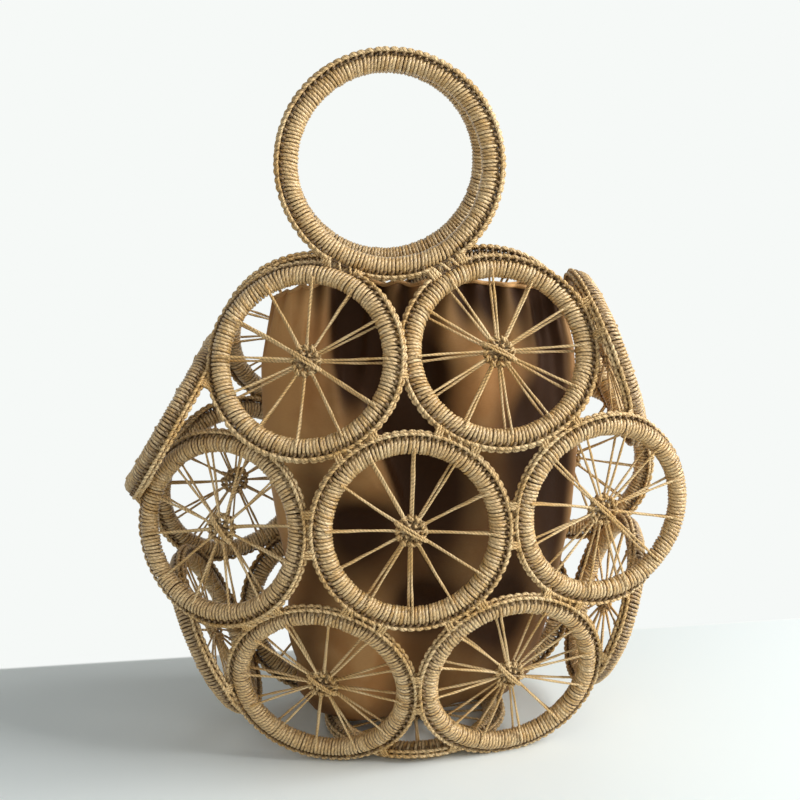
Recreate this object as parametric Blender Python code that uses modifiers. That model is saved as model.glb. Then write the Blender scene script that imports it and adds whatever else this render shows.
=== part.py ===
"""Paper rope bag: wound cord rings with spoked webs, lashed into a domed purse with two ring handles.

Metres, +Z up. The front panel faces -Y and the origin lies under the middle of the bag, on the ground.
"""

import math

import bmesh
import bpy
from mathutils import Matrix, Vector

mm = 0.001
merge_distance = 0.01 * mm

# Wound rings
ring_radius = 46.4 * mm
winding_thickness = 10.5 * mm
joint_gap = 3.7 * mm
side_gap = 1.1 * mm
seat_clearance = 0.3 * mm
base_gap = 3.3 * mm
ring_facets = 20
winding_facets = 7
outer_radius = ring_radius + winding_thickness / 2
half_pitch = outer_radius + joint_gap / 2

# Panels: half the bag's depth at the centre rings, and how far those lean back
depth_in_rings = 1.3224
half_depth = outer_radius * depth_in_rings
centre_lean = 4.4

# Webs
spoke_count = 12
cord_thickness = 2.0 * mm
strand_spacing = 2.6 * mm
strand_facets = 3
hub_radius = 9.8 * mm
hub_thickness = 6.4 * mm
hub_facets = 12
hub_lobe_share = 0.9
spoke_root_share = 0.5
shoulder_angle = 32.0

# Lashings between rings
knot_thickness = 6.4 * mm
knot_length = 13.0 * mm
knot_depth = 8.0 * mm

# Handles
handle_radius = 54.0 * mm
handle_thickness = 10.5 * mm
handle_gap = 3.9 * mm
handle_set_share = 0.2357
handle_set_in = half_depth * handle_set_share
handle_sway = 1.5 * mm
handle_lean = 10.2
handle_facets = 32
handle_sides = 8

# Lining
lining_wall = 1.2 * mm
lining_floor_clearance = 4.0 * mm
lining_width_in_pitches = 1.7196
lining_half_width = half_pitch * lining_width_in_pitches
lining_depth_share = 0.7613
lining_half_depth = half_depth * lining_depth_share
lining_clearance = 0.6 * mm
lining_shift_in_pitches = 0.2617
lining_shift = half_pitch * lining_shift_in_pitches
mouth_rise_in_radii = 0.6251
lining_fold_depth = 1.6 * mm
lining_folds = 7
lining_facets = 28

# Outer rings of a panel: direction round the centre ring, fold back from it, and twist, in degrees
OUTER_RINGS = {
    "top_right": (60.0, 19.5, -6.3),
    "top_left": (119.0, 19.2, -1.2),
    "middle_right": (1.0, 16.5, 5.1),
    "middle_left": (179.0, 25.8, 5.5),
    "bottom_right": (-60.3, 21.4, -1.2),
    "bottom_left": (-120.5, 22.6, 1.3),
}
# Gusset rings: direction from the middle of the bag and slope of the ring's axis, in degrees
GUSSET_RINGS = {
    "upper_right": (31.9, 17.9, ("top_right", "middle_right")),
    "upper_left": (156.7, 146.7, ("top_left", "middle_left")),
    "lower_right": (-32.2, -19.2, ("middle_right", "bottom_right")),
    "lower_left": (213.9, 201.6, ("middle_left", "bottom_left")),
}
# Neighbours in a panel that are lashed to each other; the first of each pair carries the knot
PANEL_LASHINGS = (
    ("centre", "top_right"),
    ("centre", "top_left"),
    ("centre", "middle_right"),
    ("centre", "middle_left"),
    ("centre", "bottom_right"),
    ("centre", "bottom_left"),
    ("top_right", "top_left"),
    ("middle_right", "top_right"),
    ("middle_left", "top_left"),
    ("bottom_right", "middle_right"),
    ("bottom_left", "middle_left"),
    ("bottom_left", "bottom_right"),
)
# Turn of each web in its ring, in degrees
WEB_TURNS = {
    "centre": 27.0,
    "top_left": 2.0,
    "top_right": 24.0,
    "middle_left": 12.0,
    "middle_right": 8.0,
    "bottom_left": 17.0,
    "bottom_right": 21.0,
}
# Lining, from its floor to its mouth: shares of its height, of its half width and of its half depth
LINING_SHARES = (
    (0.0, 0.52, 0.40),
    (0.05, 0.66, 0.58),
    (0.2, 0.8, 0.84),
    (0.45, 0.95, 1.0),
    (0.65, 1.0, 0.98),
    (0.85, 0.98, 0.64),
)
LINING_MOUTH_SHARE = 0.9

# Hub, from one face to the other: shares of its radius and of half its thickness
HUB_PROFILE = ((0.65, -1.0), (1.0, -0.75), (1.0, 0.75), (0.65, 1.0))

FRONT = Vector((0, -1, 0))
RIGHT = Vector((1, 0, 0))
UP = Vector((0, 0, 1))
ACROSS = Matrix.Diagonal((1, -1, 1))
SAMPLES = 72
SLIDES = 60
WALL_STEPS = 5


class Ring:
    """A hoop's place: its middle, the direction its outer face looks in, and its centreline radius."""

    radius = ring_radius
    thickness = winding_thickness
    facets = ring_facets
    sides = winding_facets

    def __init__(self, middle, axis):
        self.middle = Vector(middle)
        self.axis = Vector(axis).normalized()

    def frame(self, turn=0.0):
        """Local Z along the axis and local X to the right of the bag, turned in the ring's plane."""
        side = RIGHT if abs(self.axis.dot(RIGHT)) < math.cos(math.radians(45)) else FRONT
        along = (side - self.axis * side.dot(self.axis)).normalized()
        spin = Matrix((along, self.axis.cross(along), self.axis)).transposed()
        placed = Matrix.Translation(self.middle) @ spin.to_4x4()
        return placed @ Matrix.Rotation(math.radians(turn), 4, "Z")

    def mirrored(self):
        return type(self)(ACROSS @ self.middle, ACROSS @ self.axis)

    def moved(self, step):
        return type(self)(self.middle + step, self.axis)

    def points(self):
        place = self.frame()
        turns = (math.tau * i / SAMPLES for i in range(SAMPLES))
        return [place @ Vector((self.radius * math.cos(a), self.radius * math.sin(a), 0)) for a in turns]

    def nearest(self, point):
        """The point of the centreline nearest to a point in space."""
        offset = point - self.middle
        flat = offset - self.axis * offset.dot(self.axis)
        return self.middle + flat.normalized() * self.radius

    def reach(self, point, direction):
        """How far the flat-sided winding reaches from a point of the centreline, square to it."""
        local = self.frame().inverted() @ point
        half_facet = math.pi / self.facets
        from_middle = math.atan2(local.y, local.x) % (2 * half_facet) - half_facet
        inset = self.radius * (1 - math.cos(half_facet) / math.cos(from_middle))
        outward = (point - self.middle).normalized()
        tilt = math.atan2(direction.dot(self.axis), direction.dot(outward))
        flat_reach = self.thickness / 2 * math.cos(math.pi / self.sides)
        reaches = []
        for i in range(self.sides):
            facing = math.pi / 2 - math.tau * i / self.sides
            if math.cos(tilt - facing) > 0:
                reaches.append((flat_reach - inset * math.cos(facing)) / math.cos(tilt - facing))
        return min(reaches)


class Handle(Ring):
    """A ring handle's place: a larger hoop of the same make."""

    radius = handle_radius
    thickness = handle_thickness
    facets = handle_facets
    sides = handle_sides


def closest(one, other):
    """The nearest points of two centrelines, found by sampling one and then sliding to and fro."""
    point = min(one.points(), key=lambda p: (p - other.nearest(p)).length)
    for _ in range(SLIDES):
        point = one.nearest(other.nearest(point))
    return point, other.nearest(point)


def clearance(one, other):
    """The clear width between two windings."""
    a, b = closest(one, other)
    return (a - b).length - (one.thickness + other.thickness) / 2


def bring_in(ring, direction, neighbours, reach):
    """Bring a ring in from outside until a (neighbour, gap) stops it or it reaches its own place."""
    def is_clear(offset):
        trial = ring.moved(direction * offset)
        return all(clearance(trial, other) >= gap for other, gap in neighbours)

    outer = reach
    inner = reach
    while inner > 0 and is_clear(inner):
        outer = inner
        inner = max(inner - winding_thickness / 4, 0.0)
    if outer == inner or is_clear(inner):
        return ring.moved(direction * inner)
    while outer - inner > seat_clearance / SAMPLES:
        middle = (outer + inner) / 2
        if is_clear(middle):
            outer = middle
        else:
            inner = middle
    return ring.moved(direction * outer)


def turned(vector, axis, degrees):
    return Matrix.Rotation(math.radians(degrees), 3, axis) @ vector


def in_elevation(degrees):
    angle = math.radians(degrees)
    return RIGHT * math.cos(angle) + UP * math.sin(angle)


def panel_layout():
    """The seven rings of the front panel, with the centre ring's middle at the height of the origin."""
    axis = turned(FRONT, RIGHT, -centre_lean)
    centre = Ring(FRONT * half_depth, axis)
    rings = {"centre": centre}
    for name, (direction, fold, twist) in OUTER_RINGS.items():
        out = turned(RIGHT, axis, direction)
        folded = turned(out, out.cross(axis), -fold)
        outer_axis = turned(turned(axis, out.cross(axis), -fold), folded, twist)
        joint = centre.middle + out * half_pitch
        rings[name] = Ring(joint + folded * half_pitch, outer_axis)
    for name, (direction, fold, twist) in OUTER_RINGS.items():
        lashed = [pair for pair in PANEL_LASHINGS if name in pair and "centre" not in pair]
        others = [rings[a if b == name else b] for a, b in lashed]
        start = rings[name]
        out = (start.middle - centre.middle).normalized()
        rings[name] = bring_in(start, out, [(other, side_gap) for other in others], ring_radius)
    return rings


def side_layout(panel):
    """The four gusset rings, each brought in from outside into the valley that it fills."""
    rings = {}
    for name, (direction, slope, beside) in GUSSET_RINGS.items():
        start = Ring(in_elevation(direction) * ring_radius * 2, in_elevation(slope))
        neighbours = [(panel[other], side_gap) for other in beside]
        rings[name] = bring_in(start, in_elevation(direction), neighbours, ring_radius * 2)
    return rings


def floor_layout(panel):
    """The gusset ring that the bag stands on, brought up between the bottom rings."""
    start = Ring(-UP * ring_radius, -UP)
    bottoms = [(panel[name], base_gap) for name in ("bottom_left", "bottom_right")]
    return bring_in(start, -UP, bottoms, ring_radius * 3)


def handle_layout(panel):
    """The front handle, lowered onto the two top rings."""
    axis = turned(FRONT, RIGHT, -handle_lean)
    start = Handle(FRONT * handle_set_in + UP * ring_radius, axis)
    tops = [(panel[name], handle_gap) for name in ("top_left", "top_right")]
    return bring_in(start, UP, tops, ring_radius * 4)


def middle_across(rings):
    """The X of the middle of the outline that these rings make."""
    low = []
    high = []
    for ring in rings:
        reach = ring.radius * math.sqrt(1 - ring.axis.x ** 2) + ring.thickness / 2
        low.append(ring.middle.x - reach)
        high.append(ring.middle.x + reach)
    return (min(low) + max(high)) / 2


def whole_layout():
    """Every hoop of the bag by name, stood on the ground over the origin, and the two handles."""
    panel = panel_layout()
    sides = side_layout(panel)
    base = floor_layout(panel)
    handle = handle_layout(panel)
    flat_drop = winding_thickness / 2 * math.cos(math.pi / winding_facets)
    lift = UP * (flat_drop - base.middle.z)
    lift -= RIGHT * middle_across([*panel.values(), *sides.values()])
    rings = {}
    for name, ring in panel.items():
        rings["front_" + name] = ring.moved(lift)
    for name, ring in panel.items():
        rings["back_" + name] = ring.mirrored().moved(lift)
    for name, ring in sides.items():
        rings["gusset_" + name] = ring.moved(lift)
    rings["gusset_base"] = base.moved(lift)
    handles = {
        "front": handle.moved(lift),
        "back": handle.mirrored().moved(lift - RIGHT * handle_sway),
    }
    return rings, handles


def lashed_pairs():
    """(ring that carries the knot, ring that it holds) for every lashing between two rings."""
    pairs = []
    for face in ("front_", "back_"):
        pairs += [(face + a, face + b) for a, b in PANEL_LASHINGS]
        for name, (_, _, beside) in GUSSET_RINGS.items():
            pairs += [("gusset_" + name, face + other) for other in beside]
        pairs += [("gusset_base", face + "bottom_left"), ("gusset_base", face + "bottom_right")]
    return pairs


def make_material(name, colour, roughness, metallic=0.0):
    material = bpy.data.materials.new(name)
    material.use_nodes = True
    shader = material.node_tree.nodes["Principled BSDF"]
    shader.inputs["Base Color"].default_value = (*colour, 1)
    shader.inputs["Roughness"].default_value = roughness
    shader.inputs["Metallic"].default_value = metallic
    return material


def add_object(name, mesh, collection, material=None):
    thing = bpy.data.objects.new(name, mesh)
    collection.objects.link(thing)
    if material:
        thing.data.materials.append(material)
    return thing


def mesh_from(shape, name):
    """Close a bmesh into a named mesh."""
    mesh = bpy.data.meshes.new(name)
    shape.to_mesh(mesh)
    shape.free()
    return mesh


def add_winding(name, ring, collection, material):
    """A wound hoop: a section beside the axis, with one side of it square to the axis, turned full circle."""
    shape = bmesh.new()
    half = ring.thickness / 2
    corners = []
    for i in range(ring.sides):
        angle = math.pi / 2 - math.tau * (i + 0.5) / ring.sides
        place = (ring.radius + half * math.cos(angle), 0, half * math.sin(angle))
        corners.append(shape.verts.new(place))
    for i in range(ring.sides):
        shape.edges.new((corners[i], corners[(i + 1) % ring.sides]))
    thing = add_object(name, mesh_from(shape, name), collection, material)
    screw = thing.modifiers.new("Turn", "SCREW")
    screw.axis = "Z"
    screw.angle = math.tau
    screw.steps = ring.facets
    screw.render_steps = ring.facets
    screw.use_merge_vertices = True
    screw.merge_threshold = merge_distance
    return thing


def cord_between(shape, start, end, thickness):
    """A straight run of cord, as a prism from one point to another."""
    run = end - start
    place = Matrix.Translation((start + end) / 2) @ run.to_track_quat("Z", "Y").to_matrix().to_4x4()
    bmesh.ops.create_cone(
        shape,
        cap_ends=True,
        segments=strand_facets,
        radius1=thickness / 2,
        radius2=thickness / 2,
        depth=run.length,
        matrix=place,
    )


def spoke_strands():
    """Twelve doubled spokes: from the hub, one strand climbs to the front of the hoop and one to the back."""
    shape = bmesh.new()
    shoulder = math.radians(shoulder_angle)
    winding_reach = winding_thickness / 2 * math.cos(math.pi / Ring.sides)
    reach = winding_reach + cord_thickness / 2 * math.cos(math.pi / strand_facets) + seat_clearance
    hoop = ring_radius * math.cos(math.pi / Ring.facets)
    for i in range(spoke_count):
        turn = Matrix.Rotation(math.tau * i / spoke_count, 3, "Z")
        for side in (1, -1):
            root = Vector((hub_radius * spoke_root_share, 0, side * strand_spacing / 2))
            rim = Vector((hoop - reach * math.cos(shoulder), 0, side * reach * math.sin(shoulder)))
            cord_between(shape, turn @ root, turn @ rim, cord_thickness)
    return mesh_from(shape, "spoke_strands")


def woven_hub():
    """The knot at the middle of a web: a soft-edged button; two spokes share each of its lobes."""
    shape = bmesh.new()
    rows = []
    for width, height in HUB_PROFILE:
        row = []
        for i in range(hub_facets):
            angle = math.tau * (i + 0.5) / hub_facets
            reach = hub_radius * width * (1 if i % 2 else hub_lobe_share)
            place = (reach * math.cos(angle), reach * math.sin(angle), hub_thickness / 2 * height)
            row.append(shape.verts.new(place))
        rows.append(row)
    for lower, upper in zip(rows, rows[1:]):
        for i in range(hub_facets):
            j = (i + 1) % hub_facets
            shape.faces.new((lower[i], lower[j], upper[j], upper[i]))
    shape.faces.new(list(reversed(rows[0])))
    shape.faces.new(rows[-1])
    return mesh_from(shape, "woven_hub")


def joined_mesh(base, other, name):
    """One closed mesh from two that overlap."""
    scene_objects = bpy.context.scene.collection.objects
    first = bpy.data.objects.new(name, base)
    second = bpy.data.objects.new(name + "_added", other)
    scene_objects.link(first)
    scene_objects.link(second)
    union = first.modifiers.new("Join", "BOOLEAN")
    union.operation = "UNION"
    union.object = second
    bpy.context.view_layer.update()
    graph = bpy.context.evaluated_depsgraph_get()
    mesh = bpy.data.meshes.new_from_object(first.evaluated_get(graph))
    mesh.name = name
    bpy.data.objects.remove(first)
    bpy.data.objects.remove(second)
    return mesh


def add_knot(shape, owner, neighbour):
    """A lashing's knot: a spindle that grows from its own ring and stops just short of the other."""
    own, facing = closest(owner, neighbour)
    across = (own - facing).normalized()
    along = (own - owner.middle).cross(owner.axis).normalized()
    along = (along - across * along.dot(across)).normalized()
    depth = across.cross(along)
    reach = neighbour.reach(facing, across) + seat_clearance + knot_thickness / 2
    spin = Matrix((along, depth, across)).transposed().to_4x4()
    size = Matrix.Diagonal((knot_length / 2, knot_depth / 2, knot_thickness / 2, 1))
    place = Matrix.Translation(facing + across * reach) @ spin @ size
    bmesh.ops.create_icosphere(shape, subdivisions=1, radius=1, matrix=place)


def build_ring(place, rings, pairs, collections, material):
    """A wound hoop, with the knots that lash it to its neighbours."""
    ring = rings[place]
    name = place + "_ring"
    thing = add_winding(name, ring, collections["parts"], material)
    thing.matrix_world = ring.frame()
    held = [rings[other] for owner, other in pairs if owner == place]
    if not held:
        return
    knots = bmesh.new()
    for neighbour in held:
        add_knot(knots, ring, neighbour)
    helper = add_object(name + "_knots", mesh_from(knots, name + "_knots"), collections["helpers"])
    helper.hide_render = True
    helper.display_type = "WIRE"
    union = thing.modifiers.new("Knots", "BOOLEAN")
    union.operation = "UNION"
    union.object = helper


def build_web(name, ring, mesh, turn, collection):
    web = add_object(name, mesh, collection)
    web.matrix_world = ring.frame(turn)


def handle_knot(handle, top):
    """Where a handle is lashed to a top ring: the middle of the gap, and the way across it to the handle."""
    own, facing = closest(handle, top)
    across = (own - facing).normalized()
    below = facing + across * top.reach(facing, across)
    above = own - across * handle.reach(own, -across)
    return (below + above) / 2, above - below


def build_handle(face, handle, rings, collections, materials):
    """A ring handle on its hinge line, and the two knots that it swings on."""
    tops = {side: rings[f"{face}_top_{side}"] for side in ("left", "right")}
    knots = {side: handle_knot(handle, top) for side, top in tops.items()}
    hinge_line = knots["right"][0] - knots["left"][0]
    hinge = bpy.data.objects.new(face + "_handle_hinge", None)
    collections["parts"].objects.link(hinge)
    hinge.empty_display_size = handle_thickness
    hinge.location = (knots["right"][0] + knots["left"][0]) / 2
    hinge.rotation_euler = hinge_line.to_track_quat("X", "Z").to_euler()
    bpy.context.view_layer.update()
    thing = add_winding(face + "_handle", handle, collections["parts"], materials["cord"])
    thing.parent = hinge
    thing.matrix_parent_inverse = hinge.matrix_world.inverted()
    thing.matrix_world = handle.frame()
    for side, (middle, across) in knots.items():
        shape = bmesh.new()
        size = across.length / 2 - seat_clearance
        bmesh.ops.create_icosphere(shape, subdivisions=2, radius=size)
        name = f"{face}_handle_lashing_{side}"
        lashing = add_object(name, mesh_from(shape, name), collections["parts"], materials["cord"])
        spin = across.to_track_quat("Z", "X").to_matrix().to_4x4()
        lashing.matrix_world = Matrix.Translation(middle) @ spin


def lining_outline(height, half_width, depth):
    """One level of the lining: an oval whose edge waves in and out in soft folds."""
    points = []
    for i in range(lining_facets):
        angle = math.tau * i / lining_facets
        fold = lining_fold_depth * (1 - math.cos(lining_folds * angle)) / 2
        x = lining_shift + (half_width - fold) * math.cos(angle)
        y = (depth - fold) * math.sin(angle)
        points.append(Vector((x, y, height)))
    return points


def lining_levels(rings, mouth):
    """The lining's levels from its floor up to a mouth of a given half depth."""
    floor = rings["gusset_base"].middle.z + winding_thickness / 2 + lining_floor_clearance
    top = max(rings["front_" + name].middle.z for name in ("top_left", "top_right"))
    height = top + ring_radius * mouth_rise_in_radii - floor
    levels = []
    for up, width, depth in LINING_SHARES:
        level = lining_outline(floor + height * up, lining_half_width * width, lining_half_depth * depth)
        levels.append(level)
    half_width = lining_half_width * LINING_MOUTH_SHARE
    levels.append(lining_outline(floor + height, half_width, mouth))
    return levels


def is_inside(rings, lower, upper):
    """Whether the wall between two levels passes the top rings with room to spare."""
    least = winding_thickness / 2 + lining_clearance
    for name in ("front_top_left", "front_top_right", "back_top_left", "back_top_right"):
        for i in range(lining_facets):
            corners = (lower[i - 1], lower[i], upper[i - 1], upper[i])
            for step in range(WALL_STEPS ** 2):
                across = step % WALL_STEPS / (WALL_STEPS - 1)
                up = step // WALL_STEPS / (WALL_STEPS - 1)
                below = corners[0].lerp(corners[1], across)
                point = below.lerp(corners[2].lerp(corners[3], across), up)
                if (point - rings[name].nearest(point)).length < least:
                    return False
    return True


def mouth_depth(rings):
    """How far the lining's mouth can spread before its wall meets the top rings."""
    narrow, wide = lining_wall, half_depth
    while wide - narrow > lining_wall / 4:
        middle = (narrow + wide) / 2
        if is_inside(rings, *lining_levels(rings, middle)[-2:]):
            narrow = middle
        else:
            wide = middle
    return narrow


def build_lining(rings, collection, material):
    """A loose pouch with an open mouth, lofted level by level and then given its wall."""
    levels = lining_levels(rings, mouth_depth(rings))
    shape = bmesh.new()
    rows = [[shape.verts.new(point) for point in level] for level in levels]
    shape.faces.new(list(reversed(rows[0])))
    for lower, upper in zip(rows, rows[1:]):
        for i in range(lining_facets):
            j = (i + 1) % lining_facets
            shape.faces.new((lower[i], lower[j], upper[j], upper[i]))
    lining = add_object("lining", mesh_from(shape, "lining"), collection, material)
    wall = lining.modifiers.new("Wall", "SOLIDIFY")
    wall.thickness = lining_wall
    wall.offset = -1
    lining.data.shade_smooth()


def clear_scene():
    for thing in list(bpy.data.objects):
        bpy.data.objects.remove(thing)


def make_collections():
    collections = {}
    for key, name in (("parts", "paper_rope_bag"), ("helpers", "knot_helpers")):
        collections[key] = bpy.data.collections.new(name)
        bpy.context.scene.collection.children.link(collections[key])
    return collections


def main():
    clear_scene()
    collections = make_collections()
    materials = {
        "cord": make_material("paper_cord", (0.47, 0.31, 0.13), 0.6),
        "lining": make_material("brown_satin", (0.16, 0.075, 0.035), 0.4),
    }
    rings, handles = whole_layout()
    pairs = lashed_pairs()
    web_mesh = joined_mesh(woven_hub(), spoke_strands(), "web")
    web_mesh.materials.append(materials["cord"])
    for name, ring in rings.items():
        build_ring(name, rings, pairs, collections, materials["cord"])
        turn = WEB_TURNS.get(name.split("_", 1)[1], 0.0)
        build_web(name + "_web", ring, web_mesh, turn, collections["parts"])
    for face, handle in handles.items():
        build_handle(face, handle, rings, collections, materials)
    build_lining(rings, collections["parts"], materials["lining"])


main()
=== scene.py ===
"""Dresses the paper rope bag: wound hoops, spoked webs, chain edging, lashings and the satin lining.

Metres, +Z up, the front panel faces -Y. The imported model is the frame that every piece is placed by.
"""

import math
from functools import lru_cache

import bpy
import numpy as np
from bpy.props import FloatProperty, FloatVectorProperty, IntProperty, PointerProperty
from mathutils import Matrix, Vector


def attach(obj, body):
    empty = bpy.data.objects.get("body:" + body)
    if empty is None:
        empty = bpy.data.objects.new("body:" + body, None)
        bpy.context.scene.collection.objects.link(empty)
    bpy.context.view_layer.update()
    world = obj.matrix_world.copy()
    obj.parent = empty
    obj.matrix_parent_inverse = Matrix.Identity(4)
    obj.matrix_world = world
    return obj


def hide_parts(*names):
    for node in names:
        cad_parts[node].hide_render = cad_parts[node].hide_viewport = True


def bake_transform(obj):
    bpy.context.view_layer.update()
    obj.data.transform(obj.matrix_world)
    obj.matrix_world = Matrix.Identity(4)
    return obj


bl_info = {
    "name": "Paper Rope Bag",
    "version": (1, 0, 0),
    "blender": (4, 5, 0),
    "location": "View3D > Sidebar > Bag",
    "description": "Dresses the bag's wound hoops, webs, edging, lashings and lining",
    "category": "Object",
}

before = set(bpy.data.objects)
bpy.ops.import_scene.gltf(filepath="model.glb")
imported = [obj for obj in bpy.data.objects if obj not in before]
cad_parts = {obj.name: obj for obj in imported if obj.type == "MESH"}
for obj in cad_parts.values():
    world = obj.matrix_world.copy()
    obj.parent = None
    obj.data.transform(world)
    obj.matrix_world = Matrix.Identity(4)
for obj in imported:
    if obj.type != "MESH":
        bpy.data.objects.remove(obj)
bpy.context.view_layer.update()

mm = 0.001
TAU = math.tau

# Panel hoops that are lashed to each other; the first of each pair carries the lashing
ROUND_CENTRE = ("top_right", "top_left", "middle_right", "middle_left", "bottom_right", "bottom_left")
PANEL_LASHINGS = (
    *(("centre", name) for name in ROUND_CENTRE),
    ("top_right", "top_left"),
    ("middle_right", "top_right"),
    ("middle_left", "top_left"),
    ("bottom_right", "middle_right"),
    ("bottom_left", "middle_left"),
    ("bottom_left", "bottom_right"),
)
GUSSET_LASHINGS = {
    "upper_right": ("top_right", "middle_right"),
    "upper_left": ("top_left", "middle_left"),
    "lower_right": ("middle_right", "bottom_right"),
    "lower_left": ("middle_left", "bottom_left"),
    "base": ("bottom_left", "bottom_right"),
}
SPOKES = 12
# A web is placed by those of its corners that lie further from its middle than this
WEB_REACH = 30 * mm
# Length of one twist of the two plies
CORD_LAY = 4.2 * mm
# Bump of the cord and of the satin: strength and height
CORD_BUMP = (0.7, 0.35 * mm)
SATIN_BUMP = (0.6, 1.2 * mm)
# Edging: steps round a hoop, how its tilt is evened out over them, how high its stitches sit, and the
# cords of edging, webs, hubs and lashings
TILT_STEPS = 96
TILT_BLUR = ((2, 1), (1, 2), (0, 3), (-1, 2), (-2, 1))
EDGING_SEAT = 1.25 * mm
EDGING_CORD = 1.0 * mm
# How far a stitch's legs dip below their seat at both ends
STITCH_SINK = 0.55 * mm
SPOKE_CORD = 0.8 * mm
HUB_CORD = 0.8 * mm
LASHING_CORD = 0.72 * mm
# How deep the groove between the plies goes, as a share of the cord's radius
PLY_WAIST = 0.14
MIDDLE_HEIGHT = 144 * mm
# Half length of the stretch of edging that a handle's lashing binds down
BOUND_HALF = 9.2 * mm
# Tilt of each edging to its outer face, in degrees: beside its neighbours, and along the bag's outline
RESTING_TILTS = {
    "handle": (26.0, 26.0),
    "centre": (22.0, 22.0),
    "top_right": (22.0, 18.0),
    "top_left": (22.0, -22.0),
    "middle_right": (22.0, -40.0),
    "middle_left": (22.0, -20.0),
    "bottom_left": (22.0, 6.0),
    "bottom_right": (22.0, 0.0),
    "upper_left": (-40.0, -40.0),
    "upper_right": (-30.0, -30.0),
    "lower_left": (-40.0, -40.0),
    "lower_right": (-40.0, -40.0),
    "base": (-12.0, -12.0),
}
# Lining, from its floor to its mouth: height, half width and half depth in millimetres
LINING_LEVELS = (
    (14.0, 47.8, 20.8),
    (26.4, 60.7, 30.2),
    (63.6, 73.6, 43.7),
    (125.6, 87.4, 52.0),
    (175.2, 92.0, 51.0),
    (224.8, 90.2, 33.3),
    (262.0, 82.8, 27.1),
)

# Creases of the lining, and its bulges where the depth is below nought: place in degrees round it, half
# width before and after it, depth, height, half height below and above it in millimetres, and slant in
# degrees to a millimetre
LINING_CREASES = (
    (238.0, 2.5, 14.0, 18.0, 236.0, 30.0, 60.0, -0.08),
    (257.0, 2.2, 20.0, 16.0, 172.0, 40.0, 26.0, -0.22),
    (242.0, 13.0, 16.0, 9.0, 138.0, 26.0, 12.0, 0.1),
    (275.0, 7.0, 8.0, 10.0, 216.0, 22.0, 12.0, 0.15),
    (328.0, 10.0, 16.0, 7.0, 236.0, 40.0, 40.0, 0.1),
    (330.0, 20.0, 14.0, 8.0, 150.0, 50.0, 50.0, 0.0),
    (218.0, 32.0, 17.0, -13.0, 226.0, 42.0, 60.0, -0.08),
    (247.0, 17.0, 8.0, -8.0, 174.0, 17.0, 22.0, -0.2),
    (296.0, 20.0, 20.0, -9.5, 220.0, 30.0, 22.0, -0.05),
    (268.0, 7.0, 9.0, 5.0, 230.0, 16.0, 16.0, 0.0),
    (263.0, 12.0, 12.0, -4.0, 262.0, 18.0, 20.0, 0.0),
    (244.0, 15.0, 12.0, -10.0, 60.0, 36.0, 30.0, 0.1),
    (204.0, 14.0, 10.0, -6.0, 150.0, 40.0, 40.0, 0.0),
    (100.0, 34.0, 22.0, -11.0, 200.0, 70.0, 60.0, 0.1),
    (60.0, 20.0, 16.0, -11.0, 110.0, 60.0, 50.0, -0.1),
    (90.0, 3.0, 16.0, 10.0, 230.0, 60.0, 50.0, 0.1),
    (12.0, 22.0, 26.0, -8.0, 190.0, 90.0, 60.0, 0.0),
    (180.0, 22.0, 22.0, -8.0, 190.0, 90.0, 60.0, 0.0),
    (300.0, 16.0, 14.0, 4.0, 262.0, 17.0, 20.0, 0.0),
    (301.0, 18.0, 16.0, 10.0, 76.0, 20.0, 20.0, 0.0),
    (266.0, 12.0, 12.0, 9.0, 86.0, 13.0, 14.0, 0.0),
    (313.0, 10.0, 14.0, 8.0, 190.0, 24.0, 24.0, 0.0),
)
# Lining: folds and fine gathers round it, how far it stands in from its levels, and where it is tucked up
LINING_FOLDS = 9
LINING_GATHERS = 33
LINING_INSET = 0.6 * mm
TUCK_TURN = math.radians(248)
# The sag grows below one height and fades above it; the droop fades above the floor; in millimetres
SAG_HEIGHT = 46
SAG_FADE = 44
DROOP_FADE = 26
DROOP_SHARE = 1.15
# Rounds of a hub: radius and height of the weave in millimetres, and its phase
HUB_ROUNDS = ((7.9, 1.45, 0.0), (6.5, 1.5, math.pi), (3.6, 1.9, 1.0))
# The long tie over a hub: place along it and height in millimetres
HUB_TIE = ((-10.0, 1.2), (-8.0, 2.4), (-4.0, 3.2), (0.0, 3.4), (4.0, 3.2), (8.0, 2.4), (10.0, 1.2))
HUB_RIM = 8 * mm
# Where a spoke meets the winding, where its lap may end and where it would be fully sunk, in degrees round
# the winding from its outer rim; the base web is lapped less
LAP_START = 134.0
LAP_ENDS = (88, 112)
LAP_SUNK = 70
SHALLOW_LAP = (152.0, 146.0)
# Which spokes lie over which, so that no two lie in one another
SPOKE_ORDER = (3, 0, 4, 1, 5, 2)
# Lamps by name: place and width
LAMPS = {"window": ((1.4, -0.4, 1.0), 1.0), "room": ((-0.3, -1.8, 1.3), 2.0)}
CAMERA_PLACE = Vector((-23.3, -679.6, 357.2)) * mm
CAMERA_AIM = Vector((2.0, 0.0, 198.6)) * mm
CAMERA_ROLL = math.radians(-2.71)
CAMERA_LENS = 55.1
# Turn of each front web, clockwise in degrees
WEB_TURNS = {
    "front_centre": 2.0,
    "front_top_left": 8.7,
    "front_top_right": -6.8,
    "front_middle_right": -6.2,
    "front_middle_left": 6.9,
    "front_bottom_right": 13.6,
    "front_bottom_left": -4.2,
}


def srgb(red, green, blue):
    """A colour as it is seen, from 0 to 255, in the light's own scale."""
    return tuple(((c / 255 + 0.055) / 1.055) ** 2.4 if c > 10.3 else c / 3294.6 for c in (red, green, blue))


def size(name, description, millimetres):
    return FloatProperty(name=name, description=description, default=millimetres * mm, unit="LENGTH")


def tint(name, description, red, green, blue):
    shade = srgb(red, green, blue)
    return FloatVectorProperty(name=name, description=description, subtype="COLOR", default=shade)


def count(name, description, number):
    return IntProperty(name=name, description=description, default=number)


def strength(name, description, value):
    return FloatProperty(name=name, description=description, default=value)


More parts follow.
